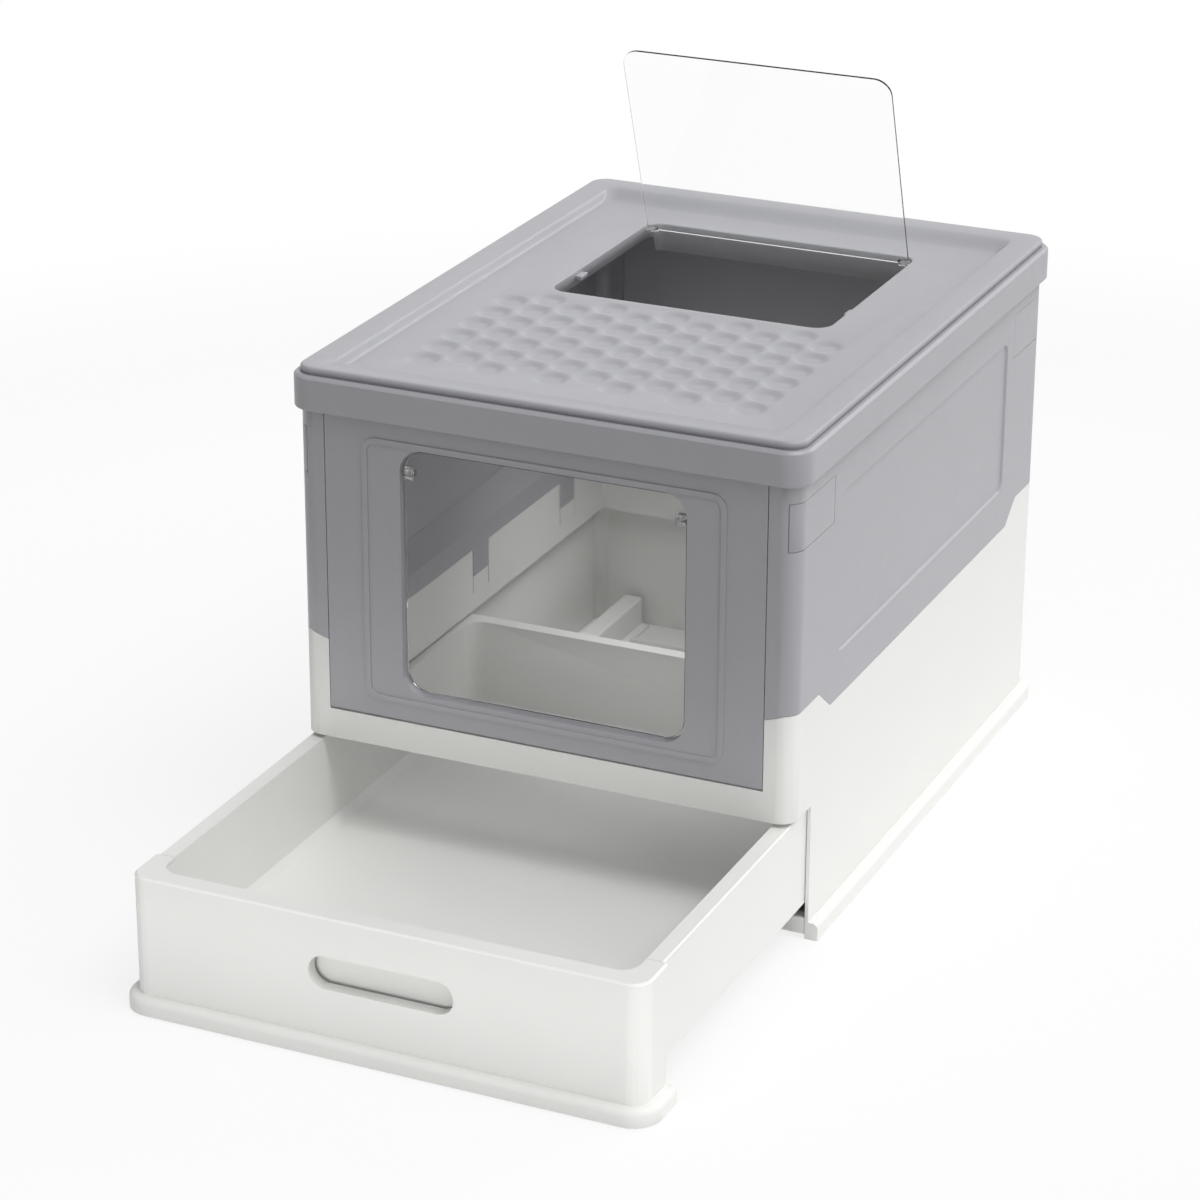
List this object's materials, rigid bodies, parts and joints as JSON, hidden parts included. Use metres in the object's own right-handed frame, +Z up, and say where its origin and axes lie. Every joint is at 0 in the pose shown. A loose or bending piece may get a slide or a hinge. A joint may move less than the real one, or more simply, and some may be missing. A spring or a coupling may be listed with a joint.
{
  "type": "drawer litter box",
  "caption": "Enclosed cat litter box: white base with a pull-out litter drawer, grey fold-flat walls with a clear swing door, and a lid with a dimpled tread and a clear top flap",
  "frame": {"origin": "On the ground under the centre of the base body, on the underside of its floor pan", "axes": "+X to the right seen from the drawer side, +Y from the drawer side to the back, +Z up"},
  "size_m": [0.3896, 0.7673, 0.5252],
  "materials": {
    "grey_plastic": "satin light grey polypropylene",
    "white_plastic": "satin white polypropylene",
    "clear_plastic": "clear smooth plastic"
  },
  "bodies": {
    "base": {"base_shell": "white_plastic", "base_floor": "white_plastic", "drawer_runner_right": "white_plastic", "drawer_runner_left": "white_plastic", "side_panel_right": "grey_plastic", "side_panel_left": "grey_plastic", "corner_clip_front_right": "grey_plastic", "corner_clip_front_left": "grey_plastic", "corner_clip_rear_right": "grey_plastic", "corner_clip_rear_left": "grey_plastic"},
    "front_wall": {"front_panel": "grey_plastic", "front_panel_pins": "grey_plastic"},
    "front_door": {"door_flap": "clear_plastic", "door_flap_pins": "clear_plastic"},
    "rear_wall": {"rear_panel": "grey_plastic", "rear_panel_pins": "grey_plastic"},
    "lid": {"lid_rim": "grey_plastic", "lid_plate": "grey_plastic"},
    "hatch": {"top_flap": "clear_plastic", "top_flap_pins": "clear_plastic"},
    "drawer": {"drawer_tub": "white_plastic", "drawer_fascia": "white_plastic"}
  },
  "joints": [
    {"name": "drawer_slide", "type": "slide", "parent": "base", "child": "drawer", "axis": [0, 1, 0], "range_m": [-0.06, 0.2467]},
    {"name": "front_wall_fold", "type": "hinge", "parent": "base", "child": "front_wall", "pos_m": [0, -0.2504, 0.1281], "axis": [-1, 0, 0], "range_deg": [0, 90]},
    {"name": "front_door_swing", "type": "hinge", "parent": "front_wall", "child": "front_door", "pos_m": [0, -0.248, 0.313], "axis": [-1, 0, 0], "range_deg": [-75, 75]},
    {"name": "rear_wall_fold", "type": "hinge", "parent": "base", "child": "rear_wall", "pos_m": [0, 0.2504, 0.1281], "axis": [1, 0, 0], "range_deg": [0, 90]},
    {"name": "lid_lift", "type": "slide", "parent": "base", "child": "lid", "axis": [0, 0, 1], "range_m": [0, 0.12]},
    {"name": "hatch_swing", "type": "hinge", "parent": "lid", "child": "hatch", "pos_m": [0, 0.17, 0.371], "axis": [1, 0, 0], "range_deg": [-75, 71]}
  ]
}
